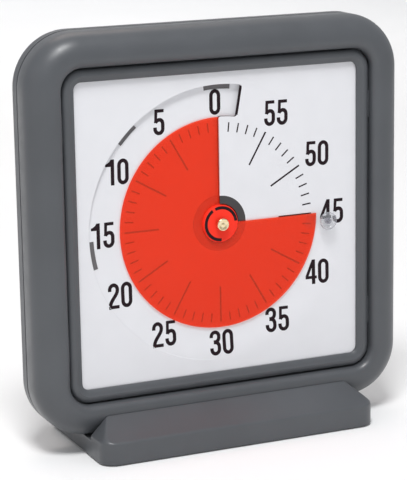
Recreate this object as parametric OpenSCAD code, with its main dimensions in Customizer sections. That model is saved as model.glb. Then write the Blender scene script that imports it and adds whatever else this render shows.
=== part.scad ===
// Sixty-minute visual countdown timer standing in a lift-out stand.
// X runs to the viewer's right, Y from the front to the back and Z up. The origin is on the
// floor, under the middle of the whole timer.

/* [Housing] */
// Width and height of the square housing
face_size = 203; // [180:1:250]
// Radius of the housing's four corners
corner_r = 28; // [24:1:36]
// Housing depth from its front face to its back
housing_depth = 30; // [29:0.5:36]
// Depth of the rear cover, from the parting line to the back
cover_depth = 10; // [8:0.5:12]
// Radius of the soft roll between the sides and the front
front_roll = 12; // [8:0.5:13]
// Radius of the fillet round the back edge
back_roll = 5; // [3:0.5:6]
// Wall thickness of the front frame and of the rear cover's sides
side_wall = 2.6; // [2:0.1:3]
// Thickness of the rear cover's back
back_wall = 3; // [2.8:0.1:3.4]
// Width of the front rail, from the outside to the groove
rail_w = 16.9; // [15:0.1:17.5]

/* [Bezel] */
// Width of the dark groove between the rail and the bezel
groove_w = 0.8; // [0.5:0.1:1.2]
// Width of the inner bezel
bezel_w = 6.4; // [5:0.1:7]
// How far the bezel's lip lies behind the front face
bezel_drop = 4; // [3:0.1:5]
// How far the dial lies behind the bezel's lip
card_drop = 2.7; // [2.2:0.1:3.2]

/* [Dial] */
// Radius of the stepped part of the dial
dial_r = 71; // [62:0.5:73]
// Thickness of the flat dial card
card_t = 1; // [0.8:0.1:1.2]
// Thickness of the spiral part of the dial
spiral_t = 0.8; // [0.6:0.1:0.9]
// Rise of the spiral in one turn, which is its step at twelve o'clock
spiral_rise = 2.4; // [2.2:0.1:2.6]
// Outer radius of the dark ring round the hub
hub_ring_r = 14.3; // [12:0.1:18]

/* [Red film] */
// Radius of the red film
film_r = 54.3; // [45:0.1:56]
// Thickness of the red film
film_t = 0.4; // [0.3:0.05:0.5]
// Free height between the film and the spiral under it
film_gap = 0.45; // [0.35:0.05:0.5]
// Radius of the hub that carries the film
film_hub_r = 9.6; // [8.5:0.1:11]
// Distance from the hub's axis to the middle of the knob
knob_place_r = 60; // [58.5:0.1:62]
// Radius of the knob
knob_r = 4.6; // [3.5:0.1:5]

/* [Stand] */
// Width of the stand
stand_w = 152; // [130:1:180]
// Depth of the stand
stand_depth = 80; // [70:1:100]
// Height of the stand's upright edge above the floor
stand_edge_h = 11.7; // [10.5:0.1:13]
// Height of the stand's top above the floor
stand_top_h = 20.7; // [19:0.1:26]
// Height of the slot's floor above the ground
slot_floor_h = 9.5; // [8:0.1:12]
// Depth of the stand in front of the housing
stand_front_run = 18.7; // [14:0.1:24]
// Gap between the housing and each wall of the slot
slot_gap = 0.3; // [0.2:0.05:0.5]
// Radius of the rubber feet
foot_r = 5; // [4:0.5:7]

/* [Movement] */
// Gear module
gear_module = 0.4; // [0.4:0.05:0.5]
// Teeth of the centre wheel
centre_teeth = 64; // [64:4:72]
// Teeth of the second and the third wheel
wheel_teeth = 48; // [44:4:56]
// Teeth of every pinion
pinion_teeth = 16; // [15:1:18]
// Radius of the pivots at the ends of the gears' arbors
pivot_r = 0.6; // [0.5:0.05:0.7]
// Radius of the main arbor
arbor_r = 2.2; // [2:0.1:2.5]
// Running clearance of pins and arbors, on the radius
run_gap = 0.05; // [0.03:0.01:0.08]

/* [Battery] */
// Diameter of the battery
battery_d = 14.5; // [13.5:0.1:14.5]
// Length of the battery
battery_l = 50.5; // [44:0.5:51]
// Thickness of the battery door
door_t = 1.5; // [1.2:0.1:1.6]
// Gap round the battery door
door_gap = 0.3; // [0.2:0.05:0.5]

/* [Hidden] */
$fn = 64;
eps = 0.01;

// Colours
charcoal = [0.37, 0.39, 0.41];
card_white = [0.9, 0.9, 0.92];
film_red = [0.95, 0.25, 0.16];
brass = [0.85, 0.7, 0.4];
steel = [0.7, 0.71, 0.73];
ivory = [0.9, 0.88, 0.8];
black = [0.08, 0.08, 0.09];

// Housing: x and y are measured from its middle, z forwards from its back
corner_place = face_size / 2 - corner_r;
front_y = stand_front_run - stand_depth / 2;
back_y = front_y + housing_depth;
centre_h = slot_floor_h + face_size / 2;
rail_in = corner_r - rail_w;
rail_edge_roll = 1.5;
bezel_out = rail_in - groove_w;
bezel_in = bezel_out - bezel_w;
lip_z = housing_depth - bezel_drop;
card_z = lip_z - card_drop;
card_back_z = card_z - card_t;
ledge_t = 2;
ledge_in = bezel_in - 1;
rim_gap = 0.2;
rim_h = 1.5;
rim_t = 1.6;

// Bezel: its clips stand in the groove on the left and the right
bezel_round = 1.8;
bezel_slope = 0.6;
clip_l = 14;
clip_place = 55;
clip_proud = groove_w - 0.3;

// Dial
spiral_step = 5;
skirt_t = 1.3;
skirt_gap = 0.1;
notch_angle = 10.6;
notch_in_r = film_r + 0.3;
rest_angle = 270;
film_sweep = 358;
film_lift = film_gap + film_t;
film_low_z = card_z - spiral_rise * (1 + (film_sweep - rest_angle) / 360) + film_gap;
film_high_z = card_z - spiral_rise * (1 - rest_angle / 360) + film_lift;
travel_back = spiral_rise * rest_angle / 360;
deepest_z = film_low_z - travel_back;
hub_ring_gap = 0.6;
hub_low_z = film_low_z - 0.3;
hub_high_z = film_high_z + 0.5;
hub_hex_r = arbor_r + 0.4;
hex_gap = 0.25;
arc_in_r = film_hub_r - 2.4;
arc_out_r = film_hub_r - 1;
arc_t = 0.5;
arc_start = 4;
arc_sweep = 265;
cap_r = 3.2;
cap_h = 2.1;
cap_fit = 0.02;
cap_z = hub_high_z + spiral_rise * (1 - rest_angle / 360) + 0.3;

// Knob and its clear tab
knob_angle = rest_angle - 4;
knob_film_z = card_z - spiral_rise * (1 - knob_angle / 360) + film_lift;
tab_foot_t = 0.3;
tab_raise = 0.5;
tab_t = 0.7;
tab_w = 8;
tab_seat = 0.03;
knob_h = 4.4;
knob_base_z = knob_film_z + tab_raise + tab_t;

// Stand
stand_bottom = 0.6;
stand_corner_r = 8;
foot_t = 1.5;
foot_inset = 14;

// Fasteners
screw_l = 11;
screw_r = 1.25;
screw_head_r = 2.8;
screw_head_h = 2;
screw_sink = 0.8;
screw_tip_gap = 1.5;
cross_l = 3.2;
cross_w = 0.7;
cross_deep = 1.1;
hole_gap = 0.3;
boss_r = 3.5;
pillar_r = 4.6;
boss_reach = (rail_in + corner_r) / 2;
boss_place = corner_place + boss_reach * cos(45);
boss_top_z = housing_depth - side_wall - 0.9;
small_screw_r = 1;
small_screw_head_r = 1.9;
small_screw_head_h = 1.2;
small_screw_bite = 1.5;

// Movement: the case holds the gears between its front plate and its cover
case_gap = 0.6;
case_low_z = back_wall + case_gap;
case_cover_t = 1.4;
case_wall = 1.4;
case_front_z = deepest_z - 1.1;
case_in_z = case_front_z - 1.6;
centre_r = gear_module * centre_teeth / 2;
wheel_r = gear_module * wheel_teeth / 2;
pinion_r = gear_module * pinion_teeth / 2;
second_dir = 40;
third_dir = -50;
rotor_dir = -125;
second_place = (centre_r + pinion_r) * [cos(second_dir), sin(second_dir)];
third_place = second_place + (wheel_r + pinion_r) * [cos(third_dir), sin(third_dir)];
rotor_place = third_place + (wheel_r + pinion_r) * [cos(rotor_dir), sin(rotor_dir)];
wheel_t = 1.2;
pinion_t = 2.2;
centre_wheel_z = case_in_z - 0.8 - wheel_t;
second_wheel_z = centre_wheel_z - 2.9;
third_wheel_z = second_wheel_z - 2.6;
rotor_z = third_wheel_z - 2.4;
gear_arbor_r = 1;
arbor_end_gap = 0.3;
magnet_r = 2.9;
magnet_t = 1.4;
stator_z = rotor_z + 0.3;
pressure_angle = 25;
addendum = 0.9 * gear_module;
dedendum = 1.15 * gear_module;
backlash = 0.05;
case_left = -(centre_r + 4);
case_right = third_place[0] + wheel_r + 4;
case_low = -(centre_r + 5);
case_high = second_place[1] + wheel_r + 4;
lug_r = 3.4;
lug_out = 2.4;
lug_inset = 8;
clutch_t = 0.4;
clutch_w = 3;
hex_low_z = deepest_z - 0.8;
coil_r = 3.2;
coil_l = 15;
flange_t = 1.2;
winding_r = coil_r - 0.5;
stator_t = 0.8;
stator_ring = 2.2;
stator_gap = 0.4;
coil_place = [case_left + case_wall + coil_r + 0.6, 0, case_low_z + case_cover_t + coil_r + 0.3];

// Battery compartment
battery_y = -55;
battery_r = battery_d / 2;
battery_z = back_wall + battery_r - 0.65;
bay_end_gap = 2.4;
bay_half_l = battery_l / 2 + bay_end_gap;
bay_half_w = battery_r + 0.7;
tray_wall = 1.2;
contact_t = 0.5;
door_seat = door_t + 0.05;
door_half_l = bay_half_l + 3.2;
hinge_r = door_t;
hinge_y = battery_y + bay_half_w + 2.5;
hinge_pin_r = 0.8;
hinge_pin_l = 2;
door_low = battery_y - bay_half_w - 1.6;
finger_r = 5;
nub_l = 1;
nub_r = 2.7;
contact_h = 11;
contact_r = 2.2;
grip_half_l = 8;
grip_w = 1.2;
grip_deep = 0.5;

// Rear cover: keyhole, sound switch and buzzer
keyhole_y = corner_place;
keyhole_r = 4.5;
keyhole_slot_r = 2.2;
keyhole_rise = 8;
switch_place = [-50, -46];
switch_travel = 4;
switch_stub = [3.6, 4];
switch_plate = [13, 7, 1];
switch_gap = 0.15;
switch_body_size = [18, 10];
board_place = switch_place;
board_size = [30, 38, 1.4];
board_z = back_wall + 5.2;
standoff_r = 2.2;
standoff_place = 15;
buzzer_place = [50, -42];
buzzer_r = 11;
buzzer_t = 3.6;
buzzer_rim = 2;
grille_r = 1;
grille_pitch = 4.5;

// ---- Shared shapes ----

// Puts a shape that is drawn in the housing's own directions into its place
module in_housing() {
    translate([0, back_y, centre_h]) rotate([90, 0, 0]) children();
}

// Square with round corners: half is the place of the corners' centres
module round_square(half, r) {
    square([2 * (half + r), 2 * half], center = true);
    square([2 * half, 2 * (half + r)], center = true);
    for (x = [-half, half], y = [-half, half]) translate([x, y]) circle(r);
}

// Sweeps a profile round the housing: its x is measured from the corners' centres
module swept_round() {
    for (quarter = [0:3]) rotate([0, 0, 90 * quarter]) translate([corner_place, corner_place, 0]) {
        rotate_extrude(angle = 90) children();
        rotate([90, 0, 0]) linear_extrude(2 * corner_place) children();
    }
}

// Rectangle between two corners
module span(low, high) {
    translate(low) square(high - low);
}

// Quarter of a disc that lies right of and above its centre
module quarter_disc(centre, r) {
    translate(centre) intersection() {
        circle(r);
        span([-eps, -eps], [r, r]);
    }
}

// Box between two corners
module block(low, high) {
    translate(low) cube(high - low);
}

// Part of a spiral floor between two radii; angles run anticlockwise from twelve o'clock
module spiral(r_in, r_out, start, finish, lift, thick) {
    steps = ceil((finish - start) / spiral_step);
    function ring(phi) = let (z = card_z - spiral_rise * (1 - phi / 360) + lift)
        [for (corner = [[r_in, 0], [r_out, 0], [r_out, thick], [r_in, thick]])
            [-corner[0] * sin(phi), corner[0] * cos(phi), z - corner[1]]];
    points = [for (i = [0:steps]) each ring(start + (finish - start) * i / steps)];
    last = 4 * steps;
    sides = [for (i = [0:steps - 1], k = [0:3]) let (a = 4 * i + k, b = 4 * i + (k + 1) % 4)
        each [[a, b, b + 4], [a, b + 4, a + 4]]];
    polyhedron(points, concat([[3, 2, 1, 0]], sides, [[last, last + 1, last + 2, last + 3]]));
}

// Involute gear outline with one tooth's middle at the angle turn
module gear(teeth, thick, turn) {
    pitch_r = gear_module * teeth / 2;
    base_r = pitch_r * cos(pressure_angle);
    root_r = pitch_r - dedendum;
    tip_r = pitch_r + addendum;
    flank = [root_r, max(root_r, base_r), pitch_r, (pitch_r + tip_r) / 2, tip_r];
    function roll(r) = r <= base_r ? 0 : sqrt(pow(r / base_r, 2) - 1) * 180 / PI - acos(base_r / r);
    slack = backlash / pitch_r * 90 / PI;
    function half(r) = 90 / teeth - slack + roll(pitch_r) - roll(r);
    function side(r, middle, way) = r * [cos(middle + way * half(r)), sin(middle + way * half(r))];
    outline = [for (i = [0:teeth - 1]) let (middle = turn + 360 * i / teeth)
        each concat([for (k = [0:4]) if (k != 1 || root_r < base_r) side(flank[k], middle, -1)],
                    [for (k = [4:-1:0]) if (k != 1 || root_r < base_r) side(flank[k], middle, 1)])];
    linear_extrude(thick) polygon(outline);
}

// Turn of a gear that meshes with one of other_teeth, itself turned by other_turn and
// lying in the direction from_dir + 180
function mesh_turn(teeth, other_teeth, other_turn, from_dir) =
    from_dir + 180 - 360 / teeth * (0.5 - (from_dir - other_turn) * other_teeth / 360);

centre_turn = 0;
second_turn = mesh_turn(pinion_teeth, centre_teeth, centre_turn, second_dir);
third_turn = mesh_turn(pinion_teeth, wheel_teeth, second_turn, third_dir);
rotor_turn = mesh_turn(pinion_teeth, wheel_teeth, third_turn, rotor_dir);

// Arbor with a wheel, a pinion and two pivots that run in the case
module gear_arbor(wheel_z, pinion_z, turn) {
    low_z = case_low_z + case_cover_t + arbor_end_gap;
    high_z = case_in_z - arbor_end_gap;
    translate([0, 0, low_z]) cylinder(r = gear_arbor_r, h = high_z - low_z);
    translate([0, 0, case_low_z]) cylinder(r = pivot_r, h = case_front_z - case_low_z);
    translate([0, 0, wheel_z]) gear(wheel_teeth, wheel_t, turn);
    translate([0, 0, pinion_z]) gear(pinion_teeth, pinion_t, turn);
}

// ---- Stand ----

module stand_base() {
    end_run = stand_top_h - stand_edge_h;
    half_w = stand_w / 2;
    half_d = stand_depth / 2;
    plan_r = stand_corner_r;
    color(charcoal) difference() {
        intersection() {
            translate([0, 0, stand_bottom]) linear_extrude(stand_top_h - stand_bottom) union() {
                square([stand_w, stand_depth - 2 * plan_r], center = true);
                square([stand_w - 2 * plan_r, stand_depth], center = true);
                for (x = [-1, 1], y = [-1, 1])
                    translate([x * (half_w - plan_r), y * (half_d - plan_r)]) circle(plan_r);
            }
            rotate([90, 0, 0]) translate([0, 0, -half_d]) linear_extrude(stand_depth) polygon([
                [-half_w, 0], [half_w, 0], [half_w, stand_edge_h], [half_w - end_run, stand_top_h],
                [end_run - half_w, stand_top_h], [-half_w, stand_edge_h]]);
            rotate([90, 0, 90]) translate([0, 0, -half_w]) linear_extrude(stand_w) polygon([
                [-half_d, 0], [half_d, 0], [half_d, stand_edge_h],
                [half_d - stand_front_run, stand_top_h], [front_y, stand_top_h],
                [-half_d, stand_edge_h]]);
        }
        block([-stand_w, front_y - slot_gap, slot_floor_h],
              [stand_w, back_y + slot_gap, stand_top_h + 1]);
        stand_feet_places() cylinder(r = foot_r + 0.1, h = foot_t);
    }
}

module stand_feet_places() {
    for (x = [-1, 1], y = [-1, 1])
        translate([x * (stand_w / 2 - foot_inset), y * (stand_depth / 2 - foot_inset), 0]) children();
}

module stand_feet() {
    color(black) stand_feet_places() cylinder(r = foot_r, h = foot_t);
}

// ---- Housing ----

module front_frame() {
    roll_x = corner_r - front_roll;
    roll_z = housing_depth - front_roll;
    wall_x = rail_in + side_wall;
    color(charcoal) in_housing() difference() {
        union() {
            swept_round() {
                difference() {
                    union() {
                        span([rail_in, roll_z], [roll_x, housing_depth - rail_edge_roll]);
                        span([rail_in + rail_edge_roll, roll_z], [roll_x, housing_depth]);
                        translate([rail_in + rail_edge_roll, housing_depth - rail_edge_roll])
                            circle(rail_edge_roll);
                        span([rail_in, cover_depth], [corner_r, roll_z]);
                        quarter_disc([roll_x, roll_z], front_roll);
                    }
                    span([wall_x, 0], [corner_r - side_wall, roll_z]);
                    span([wall_x, roll_z - eps], [roll_x, housing_depth - side_wall]);
                    quarter_disc([roll_x, roll_z], front_roll - side_wall);
                    span([0, 0], [wall_x + eps, card_back_z - ledge_t]);
                }
                span([ledge_in, card_back_z - ledge_t], [rail_in + eps, card_back_z]);
            }
            for (x = [-1, 1], y = [-1, 1])
                translate([x * boss_place, y * boss_place, cover_depth])
                    cylinder(r = boss_r, h = boss_top_z - cover_depth);
        }
        for (x = [-1, 1], y = [-1, 1]) translate([x * boss_place, y * boss_place, cover_depth - 1])
            cylinder(r = screw_r + run_gap, h = screw_l + 1);
    }
}

module inner_bezel() {
    color(charcoal) in_housing() {
        swept_round() {
            span([bezel_in, card_z], [bezel_out - bezel_round, lip_z]);
            span([bezel_in, card_z], [bezel_out, lip_z + bezel_slope - bezel_round]);
            quarter_disc([bezel_out - bezel_round, lip_z + bezel_slope - bezel_round], bezel_round);
            polygon([[bezel_in, card_z], [bezel_out - bezel_round, card_z],
                     [bezel_out - bezel_round, lip_z + bezel_slope], [bezel_in, lip_z]]);
        }
        for (x = [-1, 1], y = [-1, 1]) translate([x * (corner_place + bezel_out), y * clip_place, 0])
            block([-clip_proud, -clip_l / 2, card_z], [clip_proud, clip_l / 2, lip_z - 1.2]);
    }
}

module dial_card() {
    color(card_white) in_housing() {
        translate([0, 0, card_back_z]) linear_extrude(card_t) difference() {
            round_square(corner_place, bezel_out);
            circle(dial_r);
        }
        translate([0, 0, card_z - spiral_rise * (1 + notch_angle / 360) - spiral_t])
            linear_extrude(spiral_rise * (1 + notch_angle / 360) + spiral_t - card_t / 2) difference() {
                circle(dial_r + skirt_t);
                circle(dial_r);
            }
    }
}

module dial_spiral() {
    rim_r = dial_r - skirt_gap;
    color(card_white) in_housing() {
        spiral(hub_ring_r, rim_r, 0, 360 - notch_angle, 0, spiral_t);
        spiral(hub_ring_r, notch_in_r, 360 - notch_angle, 360, 0, spiral_t);
        spiral(notch_in_r, rim_r, -notch_angle, 0, 0, spiral_t);
    }
}

module hub_ring() {
    color(black) in_housing() spiral(film_hub_r + hub_ring_gap, hub_ring_r, 0, 360, 0, spiral_t);
}

module rear_cover() {
    flat_x = corner_r - back_roll;
    color(charcoal) in_housing() difference() {
        union() {
            difference() {
                union() {
                    swept_round() {
                        span([0, 0], [flat_x, cover_depth]);
                        span([0, back_roll], [corner_r, cover_depth]);
                        translate([flat_x, back_roll]) circle(back_roll);
                    }
                    translate([0, 0, cover_depth / 2])
                        cube([2 * corner_place, 2 * corner_place, cover_depth], center = true);
                }
                translate([0, 0, back_wall]) linear_extrude(cover_depth)
                    round_square(corner_place, corner_r - side_wall);
            }
            swept_round() {
                span([corner_r - side_wall - rim_gap - rim_t, back_wall],
                     [corner_r - side_wall - rim_gap, cover_depth + rim_h]);
                span([corner_r - side_wall - rim_t, back_wall],
                     [corner_r - side_wall + eps, cover_depth - 1]);
            }
            for (x = [-1, 1], y = [-1, 1]) translate([x * boss_place, y * boss_place, eps])
                cylinder(r = pillar_r, h = cover_depth - eps);
            movement_screw_places() cylinder(r = lug_r, h = case_gap);
            for (y = [-1, 1]) translate([board_place[0], board_place[1] + y * standoff_place, back_wall])
                cylinder(r = standoff_r, h = board_z - back_wall);
        }
        for (x = [-1, 1], y = [-1, 1]) translate([x * boss_place, y * boss_place, 0]) {
            translate([0, 0, -1]) cylinder(r = screw_r + hole_gap, h = cover_depth + 2);
            translate([0, 0, -1]) cylinder(r = screw_head_r + hole_gap, h = screw_sink + screw_head_h + 1);
        }
        movement_screw_places() translate([0, 0, -2]) cylinder(r = small_screw_r + run_gap, h = 4);
        translate([0, keyhole_y, -1]) cylinder(r = keyhole_r, h = back_wall + 2);
        translate([0, keyhole_y + keyhole_rise, -1]) cylinder(r = keyhole_slot_r, h = back_wall + 2);
        block([-keyhole_slot_r, keyhole_y, -1], [keyhole_slot_r, keyhole_y + keyhole_rise, back_wall + 1]);
        battery_bay();
        translate([switch_place[0], switch_place[1], 0])
            block([-switch_stub[0] / 2 - hole_gap, -switch_stub[1] / 2 - hole_gap, -1],
                  [switch_stub[0] / 2 + switch_travel + hole_gap, switch_stub[1] / 2 + hole_gap,
                   back_wall + 1]);
        translate([buzzer_place[0], buzzer_place[1], -1]) for (x = [-1:1], y = [-1:1])
            translate([x * grille_pitch, y * grille_pitch, 0]) cylinder(r = grille_r, h = back_wall + 2);
    }
}

// Opening for the battery, the door's recess, its hinge slot and the hinge pins' holes
module battery_bay() {
    block([-bay_half_l, battery_y - bay_half_w, -1],
          [bay_half_l, battery_y + bay_half_w, back_wall + 1]);
    block([-door_half_l, door_low, -1], [door_half_l, hinge_y, door_seat + 0.05]);
    block([-door_half_l, hinge_y - hinge_r - door_gap, -1],
          [door_half_l, hinge_y + hinge_r + door_gap, back_wall + 1]);
    translate([-door_half_l - hinge_pin_l, hinge_y, door_seat]) rotate([0, 90, 0])
        cylinder(r = hinge_pin_r + run_gap, h = 2 * (door_half_l + hinge_pin_l));
    translate([0, door_low, -1]) cylinder(r = finger_r, h = 1 + door_t - 0.3);
}

module cover_screws() {
    color(steel) in_housing() for (x = [-1, 1], y = [-1, 1])
        translate([x * boss_place, y * boss_place, screw_sink]) {
            difference() {
                cylinder(r = screw_head_r, h = screw_head_h);
                for (a = [0, 90]) rotate([0, 0, a]) translate([0, 0, cross_deep / 2])
                    cube([cross_l, cross_w, cross_deep + 2 * eps], center = true);
            }
            cylinder(r = screw_r, h = cover_depth + screw_l - screw_tip_gap - screw_sink);
        }
}

// ---- Movement ----

module movement_screw_places() {
    for (side = [[case_left - lug_out, case_high - lug_inset],
                 [case_right + lug_out, case_low + lug_inset]])
        translate([side[0], side[1], back_wall]) children();
}

module gear_places() {
    for (place = [second_place, third_place, rotor_place]) translate([place[0], place[1], 0]) children();
}

module movement_case() {
    color(ivory) in_housing() difference() {
        block([case_left, case_low, case_low_z + case_cover_t], [case_right, case_high, case_front_z]);
        block([case_left + case_wall, case_low + case_wall, 0],
              [case_right - case_wall, case_high - case_wall, case_in_z]);
        cylinder(r = arbor_r + run_gap, h = case_front_z + 1);
        gear_places() cylinder(r = pivot_r + run_gap, h = case_front_z + 1);
    }
}

module movement_cover() {
    color(ivory) in_housing() difference() {
        union() {
            block([case_left, case_low, case_low_z], [case_right, case_high, case_low_z + case_cover_t]);
            movement_screw_places() translate([0, 0, case_gap]) cylinder(r = lug_r, h = case_cover_t);
        }
        cylinder(r = arbor_r + run_gap, h = case_front_z);
        gear_places() cylinder(r = pivot_r + run_gap, h = case_front_z);
        movement_screw_places() cylinder(r = small_screw_r + run_gap, h = 5);
    }
}

module movement_screws() {
    color(steel) in_housing() movement_screw_places() {
        translate([0, 0, case_gap + case_cover_t]) cylinder(r = small_screw_head_r, h = small_screw_head_h);
        translate([0, 0, -small_screw_bite])
            cylinder(r = small_screw_r, h = small_screw_bite + case_gap + case_cover_t + 0.5);
    }
}

module coil() {
    color([0.7, 0.35, 0.15]) in_housing() translate(coil_place) rotate([90, 0, 0]) {
        cylinder(r = winding_r, h = coil_l - flange_t, center = true);
        for (end = [-1, 1]) translate([0, 0, end * (coil_l - flange_t) / 2])
            cylinder(r = coil_r, h = flange_t, center = true);
    }
}

module stator() {
    color(steel) in_housing() difference() {
        union() {
            translate([rotor_place[0], rotor_place[1], stator_z])
                cylinder(r = magnet_r + stator_ring, h = stator_t);
            block([coil_place[0] - 1.5, rotor_place[1] - 4, stator_z],
                  [rotor_place[0], rotor_place[1] - 1, stator_z + stator_t]);
        }
        translate([rotor_place[0], rotor_place[1], 0])
            cylinder(r = magnet_r + stator_gap, h = housing_depth);
    }
}

module main_arbor() {
    color(brass) in_housing() {
        translate([0, 0, case_low_z]) cylinder(r = arbor_r, h = cap_z + cap_h / 2 - case_low_z);
        translate([0, 0, hex_low_z]) cylinder(r = hub_hex_r, h = cap_z - 0.2 - hex_low_z, $fn = 6);
    }
}

module centre_wheel() {
    color(ivory) in_housing() translate([0, 0, centre_wheel_z]) difference() {
        gear(centre_teeth, wheel_t, centre_turn);
        translate([0, 0, -1]) cylinder(r = arbor_r, h = wheel_t + 2);
    }
}

module clutch_spring() {
    color(steel) in_housing() translate([0, 0, centre_wheel_z - clutch_t]) difference() {
        cylinder(r = arbor_r + clutch_w, h = clutch_t);
        translate([0, 0, -1]) cylinder(r = arbor_r, h = clutch_t + 2);
    }
}

module brass_cap() {
    rim = 0.9;
    color(brass) in_housing() translate([0, 0, cap_z]) difference() {
        rotate_extrude() {
            span([0, 0], [cap_r, cap_h - rim]);
            span([0, 0], [cap_r - rim, cap_h]);
            translate([cap_r - rim, cap_h - rim]) circle(rim);
        }
        translate([0, 0, -1]) cylinder(r = arbor_r + cap_fit, h = 1 + cap_h / 2 + cap_fit);
    }
}

module second_gear() {
    color(ivory) in_housing() translate([second_place[0], second_place[1], 0])
        gear_arbor(second_wheel_z, centre_wheel_z - 0.5, second_turn);
}

module third_gear() {
    color(ivory) in_housing() translate([third_place[0], third_place[1], 0])
        gear_arbor(third_wheel_z, second_wheel_z - 0.5, third_turn);
}

module rotor() {
    low_z = case_low_z + case_cover_t + arbor_end_gap;
    color(steel) in_housing() translate([rotor_place[0], rotor_place[1], 0]) {
        translate([0, 0, low_z]) cylinder(r = gear_arbor_r, h = third_wheel_z - low_z + 1);
        translate([0, 0, case_low_z]) cylinder(r = pivot_r, h = case_front_z - case_low_z);
        translate([0, 0, rotor_z]) cylinder(r = magnet_r, h = magnet_t);
        translate([0, 0, third_wheel_z - 0.5]) gear(pinion_teeth, pinion_t, rotor_turn);
    }
}

// ---- Red film, its hub and the knob ----

module red_film() {
    color(film_red) in_housing()
        spiral(film_hub_r, film_r, rest_angle - film_sweep, rest_angle, film_lift, film_t);
}

module film_hub() {
    color(film_red) in_housing() difference() {
        translate([0, 0, hub_low_z]) cylinder(r = film_hub_r, h = hub_high_z - hub_low_z);
        translate([0, 0, hub_low_z - 1]) cylinder(r = hub_hex_r + hex_gap, h = 10, $fn = 6);
        hub_arc_shape();
    }
}

// Three quarters of a ring, from three o'clock anticlockwise to six o'clock
module hub_arc_shape() {
    translate([0, 0, hub_high_z - arc_t]) rotate([0, 0, arc_start])
        rotate_extrude(angle = arc_sweep) span([arc_in_r, 0], [arc_out_r, arc_t]);
}

module hub_arc() {
    color(black) in_housing() hub_arc_shape();
}

module knob_tab() {
    raised = knob_film_z + tab_raise;
    color([0.92, 0.94, 0.95]) in_housing() rotate([0, 0, knob_angle]) {
        block([-tab_w / 2, film_r - 6, knob_film_z + tab_seat],
              [tab_w / 2, notch_in_r + 0.6, knob_film_z + tab_foot_t]);
        block([-tab_w / 2, notch_in_r + 0.4, knob_film_z + tab_seat],
              [tab_w / 2, notch_in_r + 1.2, raised + tab_t]);
        block([-tab_w / 2, notch_in_r + 0.4, raised], [tab_w / 2, knob_place_r, raised + tab_t]);
        translate([0, knob_place_r, raised]) cylinder(r = tab_w / 2, h = tab_t);
    }
}

module knob() {
    dome = 1.6;
    neck = 0.8;
    color([0.92, 0.94, 0.95]) in_housing() rotate([0, 0, knob_angle])
        translate([0, knob_place_r, knob_base_z]) rotate_extrude() {
            span([0, 0], [knob_r - neck, knob_h - dome]);
            span([0, neck], [knob_r, knob_h - dome]);
            quarter_disc([knob_r - dome, knob_h - dome], dome);
            span([0, knob_h - dome], [knob_r - dome, knob_h]);
        }
}

// ---- Battery and electronics ----

module battery_tray() {
    top_z = battery_z + battery_r + 0.2;
    color(black) in_housing() difference() {
        block([-bay_half_l - tray_wall, battery_y - bay_half_w - tray_wall, back_wall],
              [bay_half_l + tray_wall, battery_y + bay_half_w + tray_wall, top_z + tray_wall]);
        block([-bay_half_l, battery_y - bay_half_w, 0], [bay_half_l, battery_y + bay_half_w, top_z]);
    }
}

module battery() {
    color([0.2, 0.35, 0.25]) in_housing() translate([-battery_l / 2, battery_y, battery_z])
        rotate([0, 90, 0]) {
            cylinder(r = battery_r, h = battery_l - nub_l);
            cylinder(r = nub_r, h = battery_l);
        }
}

module battery_contacts() {
    color(steel) in_housing() for (end = [-1, 1]) {
        translate([end * (bay_half_l - contact_t / 2), battery_y, battery_z])
            cube([contact_t, 2 * bay_half_w - 2, contact_h], center = true);
        translate([end * (battery_l / 2 + (bay_end_gap - contact_t) / 2), battery_y, battery_z])
            rotate([0, 90, 0]) cylinder(r = contact_r, h = bay_end_gap - contact_t, center = true);
    }
}

module battery_door() {
    half_l = door_half_l - door_gap;
    low = door_low + door_gap;
    color(charcoal) in_housing() difference() {
        union() {
            block([-half_l, low, 0.05], [half_l, hinge_y, door_seat]);
            translate([-half_l, hinge_y, door_seat]) rotate([0, 90, 0])
                cylinder(r = hinge_r, h = 2 * half_l);
            translate([-door_half_l - hinge_pin_l + 0.3, hinge_y, door_seat]) rotate([0, 90, 0])
                cylinder(r = hinge_pin_r, h = 2 * (door_half_l + hinge_pin_l - 0.3));
        }
        for (i = [0:2]) translate([0, low + 3 + 2 * grip_w * i, 0])
            block([-grip_half_l, 0, 0], [grip_half_l, grip_w, grip_deep]);
    }
}

module circuit_board() {
    color([0.1, 0.35, 0.2]) in_housing() translate([board_place[0], board_place[1], board_z])
        translate([-board_size[0] / 2, -board_size[1] / 2, 0]) cube(board_size);
}

module switch_body() {
    plate_top = back_wall + switch_gap + switch_plate[2] + switch_gap;
    color(steel) in_housing() translate([switch_place[0] + switch_travel / 2, switch_place[1], 0])
        block([-switch_body_size[0] / 2, -switch_body_size[1] / 2, plate_top],
              [switch_body_size[0] / 2, switch_body_size[1] / 2, board_z]);
}

module sound_switch() {
    color(black) in_housing() translate([switch_place[0], switch_place[1], 0]) {
        translate([0, 0, back_wall + switch_gap]) block(
            [-switch_plate[0] / 2, -switch_plate[1] / 2, 0],
            [switch_plate[0] / 2, switch_plate[1] / 2, switch_plate[2]]);
        block([-switch_stub[0] / 2, -switch_stub[1] / 2, 0.4],
              [switch_stub[0] / 2, switch_stub[1] / 2, back_wall + switch_gap + eps]);
    }
}

module buzzer() {
    color(black) in_housing() translate([buzzer_place[0], buzzer_place[1], back_wall]) difference() {
        cylinder(r = buzzer_r, h = buzzer_t);
        translate([0, 0, -1]) cylinder(r = buzzer_r - buzzer_rim, h = 2);
    }
}

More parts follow.
